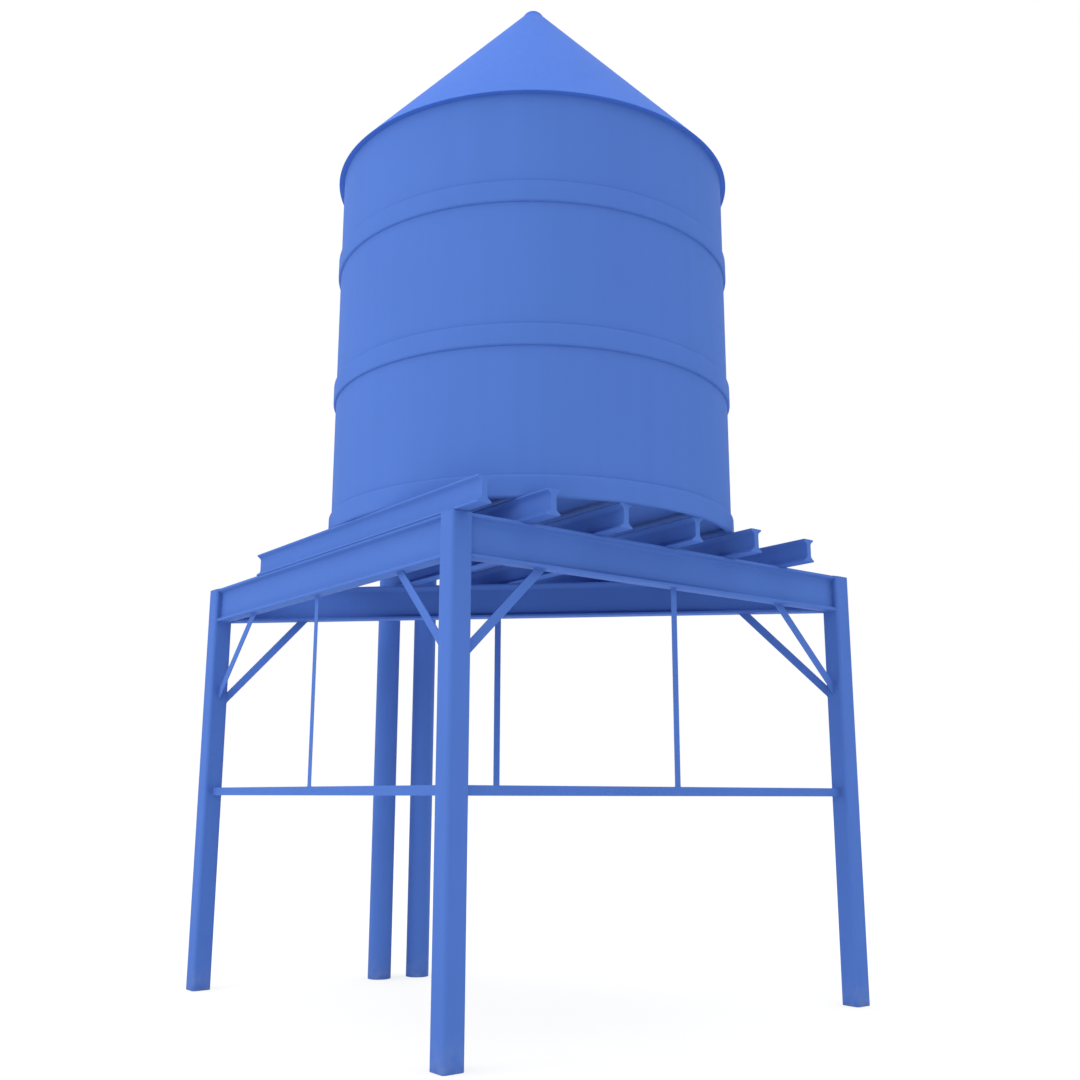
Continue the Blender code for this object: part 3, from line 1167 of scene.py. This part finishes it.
@dataclass(frozen=True)
class Tank:
    """The round shell with its floor, three hoops, conical roof and domed cap."""

    facets: int = 192
    radius: float = 1.6656
    wall: float = 0.012
    wall_segments: int = 8
    floor: float = 0.020
    wall_top: float = 6.8732
    hoop_depth: float = 0.0198
    hoop_edge: float = 0.018
    hoop_steps: int = 8
    eave_radius: float = 1.7113
    eave_rim: float = 0.004
    roof_rise: float = 1.953
    roof_thickness: float = 0.010
    roof_flat: float = 0.063
    soffit: float = 0.1115
    cap_lip: float = 0.0975
    cap_top: float = 8.7855
    cap_sphere: float = 0.1066
    cap_steps: int = 14
    cap_crown: float = 0.97
    gap: float = 0.0003

    def place(self) -> Matrix:
        """The tank's axis, from the frame.

        Returns:
            A matrix that stands on the ground under the tank's centre.
        """
        low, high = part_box("tank_bottom")
        return Matrix.Translation(((low.x + high.x) / 2, (low.y + high.y) / 2, 0.0))

    def build(self) -> None:
        """Build and show the tank from its floor up."""
        place, foot = self.place(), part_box("tank_wall_1")[0].z
        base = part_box("tank_bottom")[0].z
        shelf, inner = base + self.floor, self.radius - self.wall
        rim = inner - self.gap
        disc = [(0.0, base), (rim, base), (rim, shelf), (0.0, shelf)]
        floor = Piece("tank_floor_plate", TANK_COAT, ("tank_bottom",))
        floor.show(turned(disc, self.facets), place)
        top = self.wall_top
        ring = [(inner, foot), (self.radius, foot), (self.radius, top), (inner, top)]
        walls = tuple(f"tank_wall_{i}" for i in range(1, self.wall_segments + 1))
        Piece("tank_shell", TANK_COAT, walls).show(turned(ring, self.facets), place)
        for node in ("bottom_band", "middle_band", "upper_band"):
            low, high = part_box(node)
            hoop = turned(self._hoop(low.z, high.z), self.facets)
            Piece(node + "_hoop", HOOP_COAT, (node,)).show(hoop, place)
        self._roof(place)

    def _hoop(self, low: float, high: float) -> Section:
        """A hoop's section between two heights, its outer edges rounded.

        Args:
            low: The hoop's foot.
            high: Its top.

        Returns:
            Corners as (radius, height).
        """
        inner = self.radius + self.gap
        middle = inner + self.hoop_depth - self.hoop_edge
        steps = self.hoop_steps
        section = [(inner, low)]
        section += arc((middle, low + self.hoop_edge), self.hoop_edge, -pi / 2, 0.0, steps)
        section += arc((middle, high - self.hoop_edge), self.hoop_edge, 0.0, pi / 2, steps)
        return section + [(inner, high)]

    def _skin(self, radius: float) -> float:
        """Height of the roof's outer face at a radius.

        Args:
            radius: Distance from the tank's axis.

        Returns:
            The height above the ground.
        """
        rim = self.wall_top + self.gap + self.eave_rim
        return rim + (self.eave_radius - radius) * self.roof_rise / self.eave_radius

    def _roof(self, place: Matrix) -> None:
        """The conical sheet on its soffit ring, and the dome over its cut tip.

        Args:
            place: The tank's axis.
        """
        eave = self.wall_top + self.gap
        lean = hypot(1.0, self.roof_rise / self.eave_radius)
        drop = self.roof_thickness * lean
        tip, ring = self.roof_flat, self.eave_radius - self.soffit
        outline = [
            (self.eave_radius, eave),
            (self.eave_radius, eave + self.eave_rim),
            (tip, self._skin(tip)),
            (0.0, self._skin(tip)),
            (0.0, self._skin(tip) - drop),
            (tip, self._skin(tip) - drop),
            (ring, self._skin(ring) - drop),
            (ring, eave),
        ]
        Piece("roof_sheet", ROOF_COAT, ("roof_cone",)).show(turned(outline, self.facets), place)
        lift = self.gap * lean
        lip = self._skin(self.cap_lip) + lift
        middle = self.cap_top - self.cap_sphere
        low = asin((lip - middle) / self.cap_sphere)
        cap = [(0.0, self._skin(tip) + lift), (tip, self._skin(tip) + lift), (self.cap_lip, lip)]
        cap += arc((0.0, middle), self.cap_sphere, low, pi / 2 * self.cap_crown, self.cap_steps)
        cap.append((0.0, self.cap_top))
        Piece("roof_cap_dome", ROOF_COAT, ("roof_cap",)).show(turned(cap, self.facets // 2), place)


# The risers


@dataclass(frozen=True)
class Risers:
    """Two upright pipes, each turned by an elbow into the back of the tank."""

    tank: Tank
    radius: float = 0.106
    bend: float = 0.305
    branch_height: float = 4.290
    facets: int = 64
    elbow_steps: int = 24
    gap: float = 0.0003
    edge: float = 0.002

    def build(self) -> None:
        """Build and show both risers, their elbows, branches and welds."""
        welds: list[Path] = []
        for name in ("inlet", "outlet"):
            low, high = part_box(name + "_riser")
            foot = Vector(((low.x + high.x) / 2, (low.y + high.y) / 2, 0.0))
            self._riser(name, foot)
            self._elbow(name, foot)
            welds += self._branch(name, foot)
            turn = self.branch_height - self.bend
            welds.append(self._ring(foot + Vector((0.0, 0.0, turn)), "Z"))
            welds.append(self._ring(foot + Vector((0.0, -self.bend, self.branch_height)), "Y"))
        WeldBead(0.0050).lay(Piece("pipe_welds", WELD_COAT), welds)

    def _ring(self, middle: Vector, axis: str) -> Path:
        """A circle of the pipe's size about a point, square to an axis.

        Args:
            middle: The circle's centre.
            axis: Z for an upright pipe, Y for a level one.

        Returns:
            The circle's points.
        """
        points = []
        for i in range(self.facets):
            angle = 2.0 * pi * i / self.facets
            u, v = self.radius * cos(angle), self.radius * sin(angle)
            offset = Vector((u, v, 0.0)) if axis == "Z" else Vector((u, 0.0, v))
            points.append(middle + offset)
        return points

    def _riser(self, name: str, foot: Vector) -> None:
        """The upright pipe, from the ground to its elbow.

        Args:
            name: inlet or outlet.
            foot: Where it meets the ground.
        """
        top = self.branch_height - self.bend - self.gap
        node = name + "_riser"
        rings = [self._ring(foot + Vector((0.0, 0.0, z)), "Z") for z in (0.0, top)]
        Piece(node + "_pipe", PIPE_COAT, (node,), self.edge).show(loft(rings))

    def _elbow(self, name: str, foot: Vector) -> None:
        """The quarter bend towards the tank.

        Args:
            name: inlet or outlet.
            foot: Where the riser meets the ground.
        """
        rings = []
        for i in range(self.elbow_steps + 1):
            angle = pi / 2 * i / self.elbow_steps
            ring = []
            for j in range(self.facets):
                around = 2.0 * pi * j / self.facets
                reach = self.bend + self.radius * cos(around)
                ring.append(
                    foot
                    + Vector((
                        self.radius * sin(around),
                        reach * cos(angle) - self.bend,
                        self.branch_height - self.bend + reach * sin(angle),
                    ))
                )
            rings.append(ring)
        node = name + "_elbow"
        Piece(node + "_bend", PIPE_COAT, (node,)).show(loft(rings))

    def _branch(self, name: str, foot: Vector) -> list[Path]:
        """The level pipe into the tank's wall, and the weld around its mouth.

        Args:
            name: inlet or outlet.
            foot: Where the riser meets the ground.

        Returns:
            The weld's path, in a list.
        """
        axis = self.tank.place().translation
        start = foot + Vector((0.0, -self.bend - self.gap, self.branch_height))
        near = self._ring(start, "Y")
        far = []
        for point in near:
            across = point.x - axis.x
            reach = axis.y + sqrt((self.tank.radius + self.gap) ** 2 - across**2)
            far.append(Vector((point.x, reach, point.z)))
        node = name + "_branch"
        Piece(node + "_pipe", PIPE_COAT, (node,)).show(loft([near, far]))
        return [far]


# The studio


@dataclass(frozen=True)
class Studio:
    """A pale floor, an overhead glow and one soft light from the left."""

    floor_size: float = 160.0
    floor_tone: float = 0.800
    floor_lift: float = 0.7
    zenith: float = 1.66
    horizon: float = 0.915
    key_power: float = 544.0
    key_size: float = 7.0
    key_place: tuple[float, float, float] = (-14.0, 2.0, 8.0)
    key_target: tuple[float, float, float] = (0.0, 0.0, 4.0)
    zenith_power: float = 3.0

    def build(self) -> None:
        """Lay the floor and set the lights."""
        self._floor()
        self._sky()
        self._key()

    def _floor(self) -> None:
        """A wide pale floor at the feet."""
        builder = bmesh.new()
        bmesh.ops.create_grid(builder, x_segments=1, y_segments=1, size=self.floor_size / 2)
        mesh = bpy.data.meshes.new("studio_floor")
        builder.to_mesh(mesh)
        builder.free()
        material = bpy.data.materials.new("pale_floor")
        material.use_nodes = True
        tree = material.node_tree
        shader = next(n for n in tree.nodes if n.bl_idname == "ShaderNodeBsdfPrincipled")
        tone = self.floor_tone
        shader.inputs["Base Color"].default_value = (tone, tone, tone, 1.0)
        shader.inputs["Roughness"].default_value = 1.0
        shader.inputs["Specular IOR Level"].default_value = 0.0
        self._lift(tree, shader)
        mesh.materials.append(material)
        floor = bpy.data.objects.new("studio_floor", mesh)
        bpy.context.scene.collection.objects.link(floor)

    def _lift(self, tree: bpy.types.NodeTree, shader: bpy.types.Node) -> None:
        """Brighten the floor towards the white backdrop, as the picture sees it.

        Args:
            tree: The floor's material tree.
            shader: The floor's own shader, which still lights the tower.
        """
        seen = tree.nodes.new("ShaderNodeLightPath").outputs["Is Camera Ray"]
        share = Wiring.maths(tree, "MULTIPLY", seen, self.floor_lift)
        white = tree.nodes.new("ShaderNodeEmission")
        white.inputs["Color"].default_value = (1.0, 1.0, 1.0, 1.0)
        white.inputs["Strength"].default_value = 1.0
        mix = tree.nodes.new("ShaderNodeMixShader")
        tree.links.new(share, mix.inputs[0])
        tree.links.new(shader.outputs[0], mix.inputs[1])
        tree.links.new(white.outputs[0], mix.inputs[2])
        out = next(n for n in tree.nodes if n.bl_idname == "ShaderNodeOutputMaterial")
        tree.links.new(mix.outputs[0], out.inputs["Surface"])

    def _sky(self) -> None:
        """Light that grows from the horizon to the zenith, before a white backdrop."""
        world = bpy.data.worlds.new("studio_glow")
        bpy.context.scene.world = world
        world.use_nodes = True
        tree = world.node_tree
        tree.nodes.clear()
        place = tree.nodes.new("ShaderNodeTexCoord").outputs["Generated"]
        parts = tree.nodes.new("ShaderNodeSeparateXYZ")
        tree.links.new(place, parts.inputs[0])
        height = Wiring.ramped(tree, parts.outputs["Z"], 0.0, 1.0)
        overhead = Wiring.maths(tree, "POWER", height, self.zenith_power)
        glow = Wiring.maths(tree, "MULTIPLY", overhead, self.zenith)
        glow = Wiring.maths(tree, "ADD", glow, self.horizon)
        light = tree.nodes.new("ShaderNodeBackground")
        tree.links.new(glow, light.inputs["Strength"])
        backdrop = tree.nodes.new("ShaderNodeBackground")
        backdrop.inputs["Strength"].default_value = 1.0
        for node in (light, backdrop):
            node.inputs["Color"].default_value = (1.0, 1.0, 1.0, 1.0)
        seen = tree.nodes.new("ShaderNodeLightPath").outputs["Is Camera Ray"]
        mix = tree.nodes.new("ShaderNodeMixShader")
        tree.links.new(seen, mix.inputs[0])
        tree.links.new(light.outputs[0], mix.inputs[1])
        tree.links.new(backdrop.outputs[0], mix.inputs[2])
        out = tree.nodes.new("ShaderNodeOutputWorld")
        tree.links.new(mix.outputs[0], out.inputs["Surface"])

    def _key(self) -> None:
        """One large soft light, high on the left of the picture."""
        data = bpy.data.lights.new("soft_key", "AREA")
        data.shape = "DISK"
        data.size = self.key_size
        data.energy = self.key_power
        key = bpy.data.objects.new("soft_key", data)
        key.location = self.key_place
        aim = Vector(self.key_target) - key.location
        key.rotation_mode = "QUATERNION"
        key.rotation_quaternion = aim.to_track_quat("-Z", "Y")
        bpy.context.scene.collection.objects.link(key)


@dataclass(frozen=True)
class Viewpoint:
    """The picture's camera: a standing person's eye, looking up at the tank."""

    position: tuple[float, float, float] = (-6.2309, -8.2879, 1.650)
    heading: float = 37.511
    pitch: float = 12.235
    roll: float = 0.118
    lens: float = 39.387
    sensor: float = 36.0
    farthest: float = 300.0

    def build(self) -> None:
        """Make the camera and hand it to the scene."""
        data = bpy.data.cameras.new("picture_camera")
        data.lens = self.lens
        data.sensor_width = self.sensor
        data.clip_end = self.farthest
        camera = bpy.data.objects.new("picture_camera", data)
        bpy.context.scene.collection.objects.link(camera)
        turn = Matrix.Rotation(-radians(self.heading), 4, "Z")
        lift = Matrix.Rotation(pi / 2 + radians(self.pitch), 4, "X")
        tilt = Matrix.Rotation(radians(self.roll), 4, "Z")
        camera.matrix_world = Matrix.Translation(self.position) @ turn @ lift @ tilt
        bpy.context.scene.camera = camera


def main() -> None:
    """Build the camera, the tower and the studio in order."""
    logging.basicConfig(level=logging.INFO, format="%(name)s: %(message)s")
    bpy.context.scene.view_settings.view_transform = "Standard"
    Viewpoint().build()
    legs = Legs()
    girders = Girders(legs)
    tank = Tank()
    for assembly in (legs, girders, Joists(), FlatBars(legs, girders.bottom()), tank, Risers(tank)):
        log.info("building %s", type(assembly).__name__)
        assembly.build()
    Studio().build()


if __name__ == "__main__":
    main()
